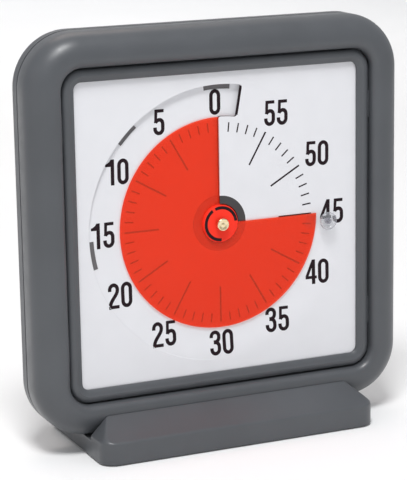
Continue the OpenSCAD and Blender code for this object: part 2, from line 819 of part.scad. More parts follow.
stand_base();
stand_feet();
front_frame();
rear_cover();
inner_bezel();
dial_card();
dial_spiral();
hub_ring();
cover_screws();
movement_case();
movement_cover();
movement_screws();
coil();
stator();
circuit_board();
switch_body();
buzzer();
battery_tray();
battery();
battery_contacts();
main_arbor();
centre_wheel();
clutch_spring();
brass_cap();
red_film();
film_hub();
hub_arc();
knob_tab();
knob();
second_gear();
third_gear();
rotor();
battery_door();
sound_switch();
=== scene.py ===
"""Looks of a sixty-minute visual countdown timer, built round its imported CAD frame."""

import math

import bmesh
import bpy
from mathutils import Matrix, Vector


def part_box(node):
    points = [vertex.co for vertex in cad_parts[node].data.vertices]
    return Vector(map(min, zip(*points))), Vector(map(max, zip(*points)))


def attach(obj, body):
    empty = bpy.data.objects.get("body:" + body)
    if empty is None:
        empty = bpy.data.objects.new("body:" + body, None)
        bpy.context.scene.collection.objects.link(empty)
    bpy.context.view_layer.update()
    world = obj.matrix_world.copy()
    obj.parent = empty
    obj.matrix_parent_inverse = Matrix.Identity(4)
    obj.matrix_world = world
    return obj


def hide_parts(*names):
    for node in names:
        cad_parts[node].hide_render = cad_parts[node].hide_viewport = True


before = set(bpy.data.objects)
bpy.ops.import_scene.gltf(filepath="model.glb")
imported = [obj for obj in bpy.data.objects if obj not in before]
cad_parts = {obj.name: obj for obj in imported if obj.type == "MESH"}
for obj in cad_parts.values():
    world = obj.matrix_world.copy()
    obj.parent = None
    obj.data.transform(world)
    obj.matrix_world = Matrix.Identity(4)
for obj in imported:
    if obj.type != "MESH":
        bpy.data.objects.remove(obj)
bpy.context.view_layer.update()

# ---- Sizes, in millimetres. The housing has its own directions: x to the right and y up from
# ---- its middle, z forwards from its back. Dial angles run anticlockwise from twelve o'clock.

MM = 0.001


def box_mm(node):
    """A CAD node's lowest and highest corners in millimetres."""
    return [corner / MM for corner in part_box(node)]


shell_low, shell_high = box_mm("front_frame")
HALF = (shell_high.x - shell_low.x) / 2
CENTRE_H = (shell_low.z + shell_high.z) / 2
BACK_Y = box_mm("rear_cover")[1].y
DEPTH = BACK_Y - shell_low.y
PARTING_Z = BACK_Y - shell_high.y
CARD_Z = BACK_Y - box_mm("dial_card")[0].y
LIP_HIGH_Z = BACK_Y - box_mm("inner_bezel")[0].y
CORNER_R = 28
PLACE = HALF - CORNER_R

# Front frame. RAIL_IN, LEDGE_IN, BEZEL_OUT and BEZEL_IN are radii about a corner's centre,
# which lies PLACE from the housing's middle both ways.
RAIL_IN = 11.1
WALL = 2.6
FRONT_ROLL = 12
EDGE_ROLL = 4.0
SEAM = 0.85
SEAM_DEPTH = 1.6
SEAM_LIP = 0.25
LEDGE_IN = 2.9
LEDGE_T = 2

# Inner bezel and its clips
GROOVE = 0.8
BEZEL_W = 6.4
BEZEL_OUT = RAIL_IN - GROOVE
BEZEL_IN = BEZEL_OUT - BEZEL_W
BEZEL_SLOPE = 0.6
BEZEL_ROUND_W = 3.4
BEZEL_ROUND_H = 2.2
BEZEL_CHAMFER_W = 1.7
BEZEL_CHAMFER_H = 1.15
BEZEL_CHAMFER_START = 0.08
BEZEL_CROWN = 0.02
BEZEL_EDGE = 0.4
CLIP_PLACE = 55
CLIP_L = 14
CLIP_DROP = 1.8
CLIP_OVERLAP = 0.2
CLIP_ROUND = 0.3

# Dial: card, step, notch, slots and the collar round the hub. RISE is how far the spiral's
# start lies behind its end.
CARD_T = 1
CARD_GAP = 0.2
STEP_ROUND = 0.15
RISE = 2.4
DIAL_R = 71
SPIRAL_T = 0.8
BLEND_IN_R = 56
NOTCH_ANGLE = 10.6
NOTCH_IN_R = 54.6
NOTCH_ROUND = 1.4
SLIT_ROUND = 1.3
SLOT_IN_R = 68.35
SLOT_OUT_R = 70.92
SLOTS = ((-6, 6), (40, 50), (92, 104))
# Painted shade behind the slots: how far it lies behind the dial, and its thickness
SLOT_SHADE_DEPTH = 0.3
SLOT_SHADE_T = 0.8
SKIRT_T = 1.3
RING_IN_R = 10.2
RING_MID_R = 12
RING_OUT_R = 14.3

# Film and hub. The film is a spiral from FILM_START to FILM_END, with a second sheet under it.
FILM_R = (box_mm("red_film")[1].z - box_mm("red_film")[0].z) / 2
FILM_IN_R = 9.6
FILM_START = -88
FILM_END = 270
FILM_LIFT = 0.85
FILM_T = 0.4
UNDER_IN_R = 9.7
UNDER_LIFT = 0.42
UNDER_T = 0.12
HUB_FRONT_Z = BACK_Y - box_mm("film_hub")[0].y
HUB_BACK_Z = BACK_Y - box_mm("film_hub")[1].y
INDEX_ARCS = ((276, 382), (393, 541))
INDEX_RADII = (7.5, 8.3, 9.05)
INDEX_LIFT = 0.06
INDEX_T = 0.3

# Print
INK_LIFT = 0.03
INK_T = 0.06
DIGIT_H = 13
DIGIT_W = 6.1
STROKE = 1.9
NUMERAL_X = 63.5
NUMERAL_Y = 62.5
ZERO_PLACE = (-1.1, 61.9)
TICK_OUT_R = 51.7
TICK_IN_R = 46.9
TICK_W = 0.72
LONG_TICK_IN_R = 33.0
LONG_TICK_W = 0.9

# Stand. Its corners' radius fades from STAND_CORNER to HIP_R up the slope, and the slope
# starts softly at STAND_EDGE_Z.
STAND_CORNER = 8
STAND_RIM_Z = 10.2
STAND_EDGE_Z = 11.7
HIP_SOFT = 0.5
HIP_R = 0.8
HIP_FADE = 1.6
SLOT_GAP = 0.3
PAD_R = 5
PAD_ROUND = 0.6
PAD_PLAY = 0.1


# ---- Mesh helpers ----


def housing_point(x, y, z):
    """A point in the housing's directions, as a point of the row frame in metres."""
    return Vector((x, BACK_Y - z, CENTRE_H + y)) * MM


def floor_point(x, y, z):
    """A point of the row frame, from millimetres to metres."""
    return Vector((x, y, z)) * MM


def polar(r, phi):
    """x and y at a radius and a dial angle in degrees."""
    turn = math.radians(phi)
    return -r * math.sin(turn), r * math.cos(turn)


def arc(cx, cy, rx, ry, start, finish, steps):
    """Points on an ellipse between two angles in degrees."""
    turns = [math.radians(start + (finish - start) * i / steps) for i in range(steps + 1)]
    return [(cx + rx * math.cos(t), cy + ry * math.sin(t)) for t in turns]


def skin(loops, closed=False):
    """Points and faces over a row of equally long loops; closed joins the last to the first."""
    count, size = len(loops), len(loops[0])
    faces = []
    for i in range(count if closed else count - 1):
        a, b = i * size, (i + 1) % count * size
        faces += [(a + k, a + (k + 1) % size, b + (k + 1) % size, b + k) for k in range(size)]
    if not closed:
        faces += [tuple(range(size)), tuple(range((count - 1) * size, count * size))]
    return [p for loop in loops for p in loop], faces


def plate(grid, present, thick):
    """Points and faces of a closed sheet: grid[i][j] is its front, present(i, j) keeps a cell."""
    rows, columns = len(grid), len(grid[0])
    cells = {(i, j) for i in range(rows - 1) for j in range(columns - 1) if present(i, j)}
    points, index, faces = [], {}, []

    def corner(i, j, back):
        if (i, j, back) not in index:
            x, y, z = grid[i][j]
            index[i, j, back] = len(points)
            points.append((x, y, z - thick * back))
        return index[i, j, back]

    for i, j in sorted(cells):
        ring = [(i, j), (i + 1, j), (i + 1, j + 1), (i, j + 1)]
        faces.append([corner(*p, 0) for p in ring])
        faces.append([corner(*p, 1) for p in reversed(ring)])
        beside = [(i, j - 1), (i + 1, j), (i, j + 1), (i - 1, j)]
        for side, cell in enumerate(beside):
            if cell not in cells:
                a, b = ring[side], ring[(side + 1) % 4]
                faces.append([corner(*a, 0), corner(*a, 1), corner(*b, 1), corner(*b, 0)])
    return points, faces


def everywhere(i, j):
    """For a plate with no holes."""
    return True


def joined(*parts):
    """Several (points, faces) as one."""
    points, faces = [], []
    for more_points, more_faces in parts:
        faces += [[k + len(points) for k in face] for face in more_faces]
        points += more_points
    return points, faces


def swept(profile, steps=20):
    """A closed profile of (x from the corners' centres, z) swept round the housing."""
    loops = []
    for quarter, (sx, sy) in enumerate(((1, 1), (-1, 1), (-1, -1), (1, -1))):
        for i in range(steps + 1):
            turn = math.radians(90 * (quarter + i / steps))
            loops.append([(sx * PLACE + x * math.cos(turn), sy * PLACE + x * math.sin(turn), z)
                          for x, z in profile])
    return skin(loops, closed=True)


def turned(profile, centre, steps=72):
    """A closed profile of (r, z) turned about an axis that points forwards."""
    loops = []
    for i in range(steps):
        turn = 2 * math.pi * i / steps
        loops.append([(centre[0] + r * math.cos(turn), centre[1] + r * math.sin(turn), z)
                      for r, z in profile])
    return skin(loops, closed=True)


def round_loop(half_x, half_y, r, z, steps=10):
    """A rectangle with round corners at one height."""
    loop = []
    for quarter, (sx, sy) in enumerate(((1, 1), (-1, 1), (-1, -1), (1, -1))):
        for x, y in arc(0, 0, r, r, 90 * quarter, 90 * quarter + 90, steps):
            loop.append((sx * (half_x - r) + x, sy * (half_y - r) + y, z))
    return loop


def clean(mesh, weld=1e-6):
    """Joins coincident points, drops faces without area and turns the normals outwards."""
    work = bmesh.new()
    work.from_mesh(mesh)
    bmesh.ops.remove_doubles(work, verts=work.verts, dist=weld)
    bmesh.ops.dissolve_degenerate(work, edges=work.edges, dist=weld)
    bmesh.ops.recalc_face_normals(work, faces=work.faces)
    work.to_mesh(mesh)
    work.free()


SHARP = 32  # edges that turn by more than this many degrees stay sharp


def piece(name, shape, material, body, stands_for=(), to_frame=housing_point, sharp=SHARP):
    """Makes one visible piece that rides on a body and stands for some CAD nodes."""
    points, faces = shape
    mesh = bpy.data.meshes.new(name)
    mesh.from_pydata([to_frame(*p) for p in points], [], faces)
    mesh.materials.append(material)
    clean(mesh)
    mesh.shade_smooth()
    mesh.set_sharp_from_angle(angle=math.radians(sharp))
    obj = bpy.data.objects.new(name, mesh)
    bpy.context.scene.collection.objects.link(obj)
    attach(obj, body)
    if stands_for:
        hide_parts(*stands_for)
    return obj


# ---- Materials. Noise sizes are in metres. ----

NOISE_LOW, NOISE_HIGH = 0.3, 0.7  # most of a noise texture's values lie between these


def tree(name):
    """A new node material, with its nodes, its links and its Principled shader."""
    material = bpy.data.materials.new(name)
    material.use_nodes = True
    nodes = material.node_tree.nodes
    return material, nodes, material.node_tree.links, nodes["Principled BSDF"]


def noise(nodes, links, size, detail=2, roughness=0.5):
    """A noise texture in object space whose blobs are about size metres across."""
    place = nodes.new("ShaderNodeTexCoord")
    texture = nodes.new("ShaderNodeTexNoise")
    texture.inputs["Scale"].default_value = 1 / size
    texture.inputs["Detail"].default_value = detail
    texture.inputs["Roughness"].default_value = roughness
    links.new(place.outputs["Object"], texture.inputs["Vector"])
    return texture.outputs["Fac"]


def ramp(nodes, links, value, dark, light, low=NOISE_LOW, high=NOISE_HIGH):
    """A colour ramp from dark at low to light at high."""
    node = nodes.new("ShaderNodeValToRGB")
    node.color_ramp.elements[0].position = low
    node.color_ramp.elements[0].color = (*dark, 1)
    node.color_ramp.elements[1].position = high
    node.color_ramp.elements[1].color = (*light, 1)
    links.new(value, node.inputs["Fac"])
    return node.outputs["Color"]


def spread(nodes, links, value, low, high):
    """Maps a noise value's middle range to low...high."""
    node = nodes.new("ShaderNodeMapRange")
    node.inputs["From Min"].default_value = NOISE_LOW
    node.inputs["From Max"].default_value = NOISE_HIGH
    node.inputs["To Min"].default_value = low
    node.inputs["To Max"].default_value = high
    links.new(value, node.inputs["Value"])
    return node.outputs["Result"]


def bump(nodes, links, height, strength, depth, under=None):
    """A bump of the given depth in metres, over another bump if one is given."""
    node = nodes.new("ShaderNodeBump")
    node.inputs["Strength"].default_value = strength
    node.inputs["Distance"].default_value = depth
    links.new(height, node.inputs["Height"])
    if under:
        links.new(under, node.inputs["Normal"])
    return node.outputs["Normal"]


def shade(colour, factor):
    """A colour made darker or lighter."""
    return [channel * factor for channel in colour]


def plastic(name, colour, rough, grain=0.0004, grain_depth=0.00002, mottle=0.06, patch=0.02,
            metallic=0.0):
    """Moulded, cast or sprayed stuff: mottled colour, uneven gloss and a fine surface grain."""
    material, nodes, links, shader = tree(name)
    broad = noise(nodes, links, patch, detail=4)
    tone = ramp(nodes, links, broad, shade(colour, 1 - mottle), shade(colour, 1 + mottle))
    links.new(tone, shader.inputs["Base Color"])
    fine = noise(nodes, links, grain, detail=3, roughness=0.6)
    gloss = noise(nodes, links, patch / 4, detail=5, roughness=0.65)
    links.new(spread(nodes, links, gloss, rough * 0.86, rough * 1.14), shader.inputs["Roughness"])
    waves = bump(nodes, links, broad, 0.3, 0.0001)
    links.new(bump(nodes, links, fine, 0.5, grain_depth, waves), shader.inputs["Normal"])
    shader.inputs["Metallic"].default_value = metallic
    return material


def see_through(nodes, links, shader, share, tint):
    """Mixes a shader with plain transparency and gives the mix node back. Light through a part
    meets the mix twice, at its front and at its back."""
    clear = nodes.new("ShaderNodeBsdfTransparent")
    clear.inputs["Color"].default_value = (*tint, 1)
    mixed = nodes.new("ShaderNodeMixShader")
    mixed.inputs["Fac"].default_value = share
    links.new(shader.outputs["BSDF"], mixed.inputs[1])
    links.new(clear.outputs["BSDF"], mixed.inputs[2])
    links.new(mixed.outputs["Shader"], nodes["Material Output"].inputs["Surface"])
    return mixed


def film_material():
    """Red film that lets some of the printed dial behind it show through."""
    material, nodes, links, shader = tree("red_film_look")
    broad = noise(nodes, links, 0.03, detail=3)
    tone = ramp(nodes, links, broad, (0.99, 0.09, 0.03), (1.0, 0.1, 0.036))
    links.new(tone, shader.inputs["Base Color"])
    gloss = noise(nodes, links, 0.006, detail=5, roughness=0.7)
    links.new(spread(nodes, links, gloss, 0.3, 0.42), shader.inputs["Roughness"])
    links.new(bump(nodes, links, broad, 0.25, 0.0002), shader.inputs["Normal"])
    see_through(nodes, links, shader, 0.71, (1.0, 0.42, 0.3))
    return material


def brass_material():
    """Turned brass: fine rings about the hub's axis and a little tarnish."""
    material, nodes, links, shader = tree("brass_look")
    tarnish = noise(nodes, links, 0.0012, detail=4, roughness=0.6)
    tone = ramp(nodes, links, tarnish, (0.76, 0.58, 0.32), (0.94, 0.83, 0.6), low=0.35)
    links.new(tone, shader.inputs["Base Color"])
    shader.inputs["Metallic"].default_value = 1.0
    links.new(spread(nodes, links, tarnish, 0.16, 0.32), shader.inputs["Roughness"])
    place = nodes.new("ShaderNodeTexCoord")
    centre = nodes.new("ShaderNodeMapping")
    centre.inputs["Location"].default_value = (0, 0, -CENTRE_H * MM)
    rings = nodes.new("ShaderNodeTexWave")
    rings.wave_type = "RINGS"
    rings.rings_direction = "Y"
    rings.inputs["Scale"].default_value = 900
    rings.inputs["Distortion"].default_value = 0.6
    links.new(place.outputs["Object"], centre.inputs["Vector"])
    links.new(centre.outputs["Vector"], rings.inputs["Vector"])
    links.new(bump(nodes, links, rings.outputs["Fac"], 0.35, 0.00002), shader.inputs["Normal"])
    return material


def clear_material(name, colour, share, rim_share=None):
    """Clear moulded plastic with faint flow marks; share of the light goes straight through, and
    rim_share where the surface turns away."""
    material, nodes, links, shader = tree(name)
    flow = noise(nodes, links, 0.003, detail=3)
    tone = ramp(nodes, links, flow, shade(colour, 0.94), shade(colour, 1.06))
    links.new(tone, shader.inputs["Base Color"])
    shader.inputs["Specular IOR Level"].default_value = 1.0
    links.new(spread(nodes, links, flow, 0.04, 0.1), shader.inputs["Roughness"])
    links.new(bump(nodes, links, flow, 0.15, 0.0001), shader.inputs["Normal"])
    mixed = see_through(nodes, links, shader, share, (0.99, 0.99, 0.99))
    if rim_share is not None:
        facing = nodes.new("ShaderNodeLayerWeight")
        facing.inputs["Blend"].default_value = 0.4
        fade = nodes.new("ShaderNodeMapRange")
        fade.inputs["To Min"].default_value = share
        fade.inputs["To Max"].default_value = rim_share
        links.new(facing.outputs["Facing"], fade.inputs["Value"])
        links.new(fade.outputs["Result"], mixed.inputs["Fac"])
    return material


charcoal = plastic("charcoal_plastic_look", (0.074, 0.079, 0.087), 0.37, grain=0.0005,
                   grain_depth=0.00003, mottle=0.07, patch=0.03)
dial_white = plastic("dial_white_look", (0.71, 0.712, 0.738), 0.5, grain=0.0003,
                     grain_depth=0.000008, mottle=0.012, patch=0.012)
# Black print; the same dark material paints the shadow along the notch's open side
ink_and_shade = plastic("ink_and_painted_shade_look", (0.012, 0.004, 0.007), 0.7, grain=0.0002, grain_depth=0.000005,
              mottle=0.3, patch=0.002)
black = plastic("black_plastic_look", (0.018, 0.018, 0.02), 0.4, mottle=0.15)
collar_grey = plastic("collar_look", (0.04, 0.037, 0.039), 0.6, mottle=0.1, patch=0.006)
# Painted shade: the dark of the unlit inside, seen through the dial's slots
slot_shade = plastic("slot_painted_shade_look", (0.13, 0.122, 0.128), 0.6, mottle=0.12)
hub_red = plastic("hub_red_look", (0.92, 0.035, 0.016), 0.65, grain=0.0006,
                  grain_depth=0.00001, mottle=0.03, patch=0.01)
rubber = plastic("rubber_look", (0.025, 0.025, 0.026), 0.8, grain=0.0003, mottle=0.2)
steel = plastic("steel_look", (0.58, 0.59, 0.61), 0.3, grain=0.0002, grain_depth=0.000006,
                mottle=0.08, patch=0.004, metallic=1.0)
dark_steel = plastic("dark_steel_look", (0.28, 0.28, 0.29), 0.36, grain=0.0002,
                     grain_depth=0.000006, mottle=0.1, patch=0.004, metallic=1.0)
ivory = plastic("movement_plastic_look", (0.76, 0.72, 0.62), 0.42, mottle=0.04)
copper = plastic("copper_wire_look", (0.65, 0.27, 0.11), 0.35, grain=0.0002,
                 grain_depth=0.00004, mottle=0.15, patch=0.002, metallic=1.0)
board_green = plastic("board_green_look", (0.02, 0.14, 0.05), 0.3, mottle=0.15, patch=0.004)
sleeve = plastic("battery_sleeve_look", (0.035, 0.05, 0.14), 0.28, mottle=0.12, patch=0.01)
red_film = film_material()
brass = brass_material()
clear = clear_material("clear_plastic_look", (0.5, 0.51, 0.55), 0.86, 0.35)
clear_tab = clear_material("clear_tab_look", (0.85, 0.86, 0.87), 0.995)
# Painted refraction: the darker core inside the knob
painted_refraction = clear_material("painted_refraction_look", (0.34, 0.33, 0.4), 0.82, 0.35)

for dull in (ink_and_shade, hub_red):
    dull.node_tree.nodes["Principled BSDF"].inputs["Specular IOR Level"].default_value = 0.2

# CAD nodes that stay as they are, with their finish
LOOKS = {
    charcoal: ["rear_cover", "battery_door"],
    dark_steel: ["cover_screws"],
    steel: ["movement_screws", "stator", "switch_body", "battery_contacts",
            "clutch_spring", "rotor"],
    ivory: ["movement_case", "movement_cover", "centre_wheel", "second_gear", "third_gear"],
    black: ["buzzer", "battery_tray", "sound_switch"],
    copper: ["coil"],
    board_green: ["circuit_board"],
    sleeve: ["battery"],
    brass: ["main_arbor"],
    clear_tab: ["knob_tab"],
}
for look, nodes_with_it in LOOKS.items():
    for node in nodes_with_it:
        for material_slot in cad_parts[node].material_slots:
            material_slot.material = look


# ---- Housing ----


def front_frame():
    """The soft outer frame with its seam, its groove side and the ledge under the dial."""
    card_back_z = CARD_Z - CARD_T
    roll_x, roll_z = CORNER_R - FRONT_ROLL, DEPTH - FRONT_ROLL
    inner_roll = FRONT_ROLL - WALL
    lip_x, lip_z = CORNER_R - SEAM_LIP, PARTING_Z + SEAM + SEAM_LIP
    profile = [(CORNER_R - SEAM_DEPTH, PARTING_Z), (CORNER_R - SEAM_DEPTH, PARTING_Z + SEAM)]
    profile += arc(lip_x, lip_z, SEAM_LIP, SEAM_LIP, -90, 0, 3)
    profile += arc(roll_x, roll_z, FRONT_ROLL, FRONT_ROLL, 0, 90, 18)
    profile += arc(RAIL_IN + EDGE_ROLL, DEPTH - EDGE_ROLL, EDGE_ROLL, EDGE_ROLL, 90, 180, 6)
    profile += [(RAIL_IN, card_back_z), (LEDGE_IN, card_back_z), (LEDGE_IN, card_back_z - LEDGE_T),
                (RAIL_IN + WALL, card_back_z - LEDGE_T), (RAIL_IN + WALL, DEPTH - WALL)]
    profile += arc(roll_x, roll_z, inner_roll, inner_roll, 90, 0, 8)
    profile += [(CORNER_R - WALL, PARTING_Z)]
    piece("frame_shell", swept(profile), charcoal, "housing", ["front_frame"])


def inner_bezel():
    """The raised bezel round the window, and the clips that hold it in the groove."""
    top = LIP_HIGH_Z
    low_top = top - BEZEL_SLOPE
    profile = [(BEZEL_OUT, CARD_Z)]
    profile += arc(BEZEL_OUT - BEZEL_ROUND_W, top - BEZEL_ROUND_H, BEZEL_ROUND_W, BEZEL_ROUND_H,
                   0, 90, 12)
    profile += [(BEZEL_IN + BEZEL_CHAMFER_W + BEZEL_EDGE, low_top + BEZEL_CROWN),
                (BEZEL_IN + BEZEL_CHAMFER_W, low_top - BEZEL_CHAMFER_START)]
    edge_z = low_top - BEZEL_CHAMFER_H - BEZEL_EDGE
    profile += arc(BEZEL_IN + BEZEL_EDGE, edge_z, BEZEL_EDGE, BEZEL_EDGE, 125, 180, 4)
    profile += [(BEZEL_IN, CARD_Z)]
    clip_top = top - CLIP_DROP
    levels = ((CARD_Z, 0), (clip_top - CLIP_ROUND, 0), (clip_top - CLIP_ROUND / 3, CLIP_ROUND / 3),
              (clip_top, CLIP_ROUND))
    half_w, half_l = GROOVE / 2 + CLIP_OVERLAP, CLIP_L / 2
    loops = [round_loop(half_w - inset, half_l - inset, CLIP_ROUND, z, 3) for z, inset in levels]
    clips = []
    for side in (-1, 1):
        middle = side * (PLACE + BEZEL_OUT + CLIP_OVERLAP / 2)
        for y in (-CLIP_PLACE, CLIP_PLACE):
            clips.append(skin([[(middle + px, y + py, z) for px, py, z in loop] for loop in loops]))
    piece("bezel", joined(swept(profile), *clips), charcoal, "housing",
          ["inner_bezel"])


# ---- Dial ----


def smooth(t):
    """An even step from 0 to 1 that starts and ends flat."""
    t = min(max(t, 0), 1)
    return t * t * (3 - 2 * t)


def dial_drop(r, phi):
    """How far the dial's surface lies behind the flat card. Its middle is one turn of a spiral;
    its rim comes level with the card by six o'clock."""
    core = RISE * (1 - phi / 360)
    rim = core if phi < 0 else RISE * max(0, 1 - phi / 180)
    return core + (rim - core) * smooth((r - BLEND_IN_R) / (DIAL_R - BLEND_IN_R))


def printed_point(x, y, lift=INK_LIFT):
    """A point just in front of the dial's surface, for print."""
    r = math.hypot(x, y)
    phi = math.degrees(math.atan2(-x, y)) % 360
    if phi > 360 - NOTCH_ANGLE and NOTCH_IN_R < r < DIAL_R:
        phi -= 360
    drop = dial_drop(r, phi) if r < DIAL_R else 0
    return x, y, CARD_Z - drop + lift


def rounding(distance, r):
    """How far a corner of radius r draws an edge in, at a distance along the other edge."""
    left = r - min(max(distance, 0), r)
    return r - math.sqrt(r * r - left * left)


def edge_r(phi):
    """Outer radius of the dial's middle: it ends in a hollow and in a round corner at the notch."""
    back = -phi % 360
    if back > NOTCH_ANGLE + 0.01:
        return NOTCH_IN_R
    from_side = math.radians(NOTCH_ANGLE - back) * NOTCH_IN_R
    from_slit = math.radians(back) * NOTCH_IN_R
    return NOTCH_IN_R + rounding(from_side, NOTCH_ROUND) - rounding(from_slit, SLIT_ROUND)


def rim_r(phi):
    """Radius of the step, drawn in by a round corner at the notch's far end."""
    if phi > 0:
        return DIAL_R
    return DIAL_R - rounding(math.radians(phi + NOTCH_ANGLE) * DIAL_R, NOTCH_ROUND)


# The grid's dial angles: one a degree, and closer round the notch's round corners
NOTCH_START = 360 - NOTCH_ANGLE
CLOSE = (0.2, 0.5, 0.9, 1.3)
NOTCH_STATIONS = [NOTCH_START] + [NOTCH_START + step for step in CLOSE]
NOTCH_STATIONS += list(range(math.ceil(NOTCH_STATIONS[-1]), 359))
NOTCH_STATIONS += [360 - step for step in reversed(CLOSE)] + [360]
RIM_STATIONS = [phi - 360 for phi in NOTCH_STATIONS]
RIM_STATIONS += list(range(1, math.ceil(NOTCH_START))) + [NOTCH_START]
STATIONS = RIM_STATIONS + NOTCH_STATIONS[1:]
CORE_STEPS, RIM_STEPS = 8, 10


def dial_radii(phi):
    """Radii of the grid's lines: to the middle's edge, to the slots, across them and to the rim."""
    edge, rim = edge_r(phi), rim_r(phi)
    in_gap, out_gap = 0.4, 0.06
    slot_in, slot_out = min(SLOT_IN_R, rim - in_gap), min(SLOT_OUT_R, rim - out_gap)
    core = [RING_OUT_R + (edge - RING_OUT_R) * k / CORE_STEPS for k in range(CORE_STEPS)]
    ring = [edge + (slot_in - edge) * k / RIM_STEPS for k in range(RIM_STEPS)]
    return core + ring + [slot_in, slot_out, rim]


def dial_face():
    """The stepped dial: the spiral middle, its rim, the notch's floor and three slots."""
    grid = [[(*polar(r, phi), CARD_Z - dial_drop(r, phi)) for r in dial_radii(phi)]
            for phi in STATIONS]
    slot_row = CORE_STEPS + RIM_STEPS

    def present(i, j):
        phi = (STATIONS[i] + STATIONS[i + 1]) / 2
        if phi < 0 and j < CORE_STEPS or phi > NOTCH_START and j >= CORE_STEPS:
            return False
        return j != slot_row or not any(low < phi < high for low, high in SLOTS)

    piece("dial_spiral_face", plate(grid, present, SPIRAL_T), dial_white, "housing",
          ["dial_spiral"])


def square_reach(phi, place, r):
    """Distance from the dial's middle to a square with round corners."""
    dx, dy = (abs(c) for c in polar(1, phi))
    reach = (place + r) / max(dx, dy)
    if min(dx, dy) * reach <= place:
        return reach
    along = place * (dx + dy)
    return along + math.sqrt(along * along - 2 * place * place + r * r)


def dial_card():
    """The flat card round the step, with a skirt that closes the step and a lightly round edge."""
    low_z = CARD_Z - RISE - SPIRAL_T
    play, least = 0.005, 0.01
    loops = []
    for phi in RIM_STATIONS[:-1]:
        r = rim_r(phi) + play
        edge = min(STEP_ROUND, least + dial_drop(DIAL_R, phi) / 2)
        out = square_reach(phi, PLACE, BEZEL_OUT - CARD_GAP)
        section = [(out, CARD_Z), (r + edge + 2 * STEP_ROUND, CARD_Z), (r + edge, CARD_Z),
                   (r + edge * 0.3, CARD_Z - edge * 0.3), (r, CARD_Z - edge), (r, low_z),
                   (r + SKIRT_T, low_z), (r + SKIRT_T, CARD_Z - CARD_T), (out, CARD_Z - CARD_T)]
        loops.append([(*polar(radius, phi), z) for radius, z in section])
    piece("dial_card_face", skin(loops, closed=True), dial_white, "housing",
          ["dial_card"], sharp=20)


def painted_shade_strips():
    """Painted shade: dark strips behind the dial's slots and behind the open side of its notch."""
    play, play_angle, steps = 0.02, 0.05, 16
    below_card, strip_angle, strip_t = 0.03, 0.3, RISE - 0.1
    core_gap, rim_gap = 1.2, 0.5
    radii = (SLOT_IN_R + play, (SLOT_IN_R + SLOT_OUT_R) / 2, SLOT_OUT_R - play)
    strips = []
    for low, high in SLOTS:
        turns = [low + play_angle + (high - low - 2 * play_angle) * i / steps
                 for i in range(steps + 1)]
        grid = [[(*polar(r, phi), CARD_Z - dial_drop(r, phi) - SLOT_SHADE_DEPTH) for r in radii]
                for phi in turns]
        strips.append(plate(grid, everywhere, SLOT_SHADE_T))
    # Painted shade seen through the slots
    piece("slot_painted_shade", joined(*strips), slot_shade, "housing")
    # A painted shadow along the notch's open side
    radii = (NOTCH_IN_R + core_gap, DIAL_R - rim_gap)
    grid = [[(*polar(r, phi), CARD_Z - below_card) for r in radii]
            for phi in (NOTCH_START - play, NOTCH_START + strip_angle)]
    piece("notch_shadow_edge", plate(grid, everywhere, strip_t), ink_and_shade, "housing")


def hub_collar():
    """The dark collar on the dial round the hub."""
    radii = (RING_IN_R, RING_MID_R, RING_OUT_R)
    grid = [[(*polar(r, phi), CARD_Z - dial_drop(r, phi)) for r in radii]
            for phi in range(0, 361, 3)]
    piece("hub_collar", plate(grid, everywhere, SPIRAL_T), collar_grey, "housing",
          ["hub_ring"])


# ---- Print: each digit is a list of strokes inside DIGIT_W by DIGIT_H ----

PEN = STROKE / 2
LEFT, RIGHT = PEN, DIGIT_W - PEN
MIDDLE, BOWL = DIGIT_W / 2, (DIGIT_W - STROKE) / 2


def bezier(a, b, c, d, steps=12):
    """Points on a cubic curve."""
    points = []
    for i in range(steps + 1):
        t = i / steps
        s = 1 - t
        points.append(tuple(s**3 * a[k] + 3 * s * s * t * b[k] + 3 * s * t * t * c[k] + t**3 * d[k]
                            for k in (0, 1)))
    return points


ZERO = (arc(MIDDLE, DIGIT_H - 3.4, BOWL, 3.4 - PEN, 0, 180, 16)
        + arc(MIDDLE, 3.4, BOWL, 3.4 - PEN, 180, 360, 16) + [(RIGHT, DIGIT_H - 3.4)])
TWO = ([(LEFT, 8.9)] + arc(MIDDLE, DIGIT_H - 3.3, BOWL, 3.3 - PEN, 180, 0, 16)
       + bezier((RIGHT, 9.5), (RIGHT, 6.6), (LEFT + 0.1, 4.6), (LEFT + 0.1, 0.9))[1:])
THREE_TOP = ([(LEFT, 9.3)] + arc(MIDDLE, DIGIT_H - 3.1, BOWL, 3.1 - PEN, 180, 0, 16)
             + bezier((RIGHT, 9.7), (RIGHT, 7.7), (4.2, 6.95), (2.2, 6.95), 8)[1:])
THREE_LOW = (bezier((2.2, 6.85), (4.4, 6.85), (RIGHT, 6.0), (RIGHT, 3.9), 8)
             + arc(MIDDLE, 3.3, BOWL, 3.3 - PEN, 0, -180, 16) + [(LEFT, 4.0)])
FIVE_BOWL = (bezier((LEFT + 0.25, 6.2), (1.7, 8.0), (RIGHT, 8.7), (RIGHT, 5.3), 12)
             + arc(MIDDLE, 3.3, BOWL, 3.3 - PEN, 0, -180, 16) + [(LEFT, 4.0)])

# (points of the middle line, pen width)
STROKES = {
    "0": [(ZERO, STROKE)],
    "1": [([(4.3, 0), (4.3, DIGIT_H)], STROKE)],
    "2": [(TWO, STROKE), ([(0.1, 0.85), (DIGIT_W - 0.1, 0.85)], 1.7)],
    "3": [(THREE_TOP, STROKE), (THREE_LOW, STROKE)],
    "4": [([(4.55, 0), (4.55, DIGIT_H)], STROKE), ([(0.05, 3.6), (6.35, 3.6)], 1.55)],
    "5": [([(1.0, DIGIT_H - 0.82), (5.75, DIGIT_H - 0.82)], 1.64), (FIVE_BOWL, STROKE)],
}
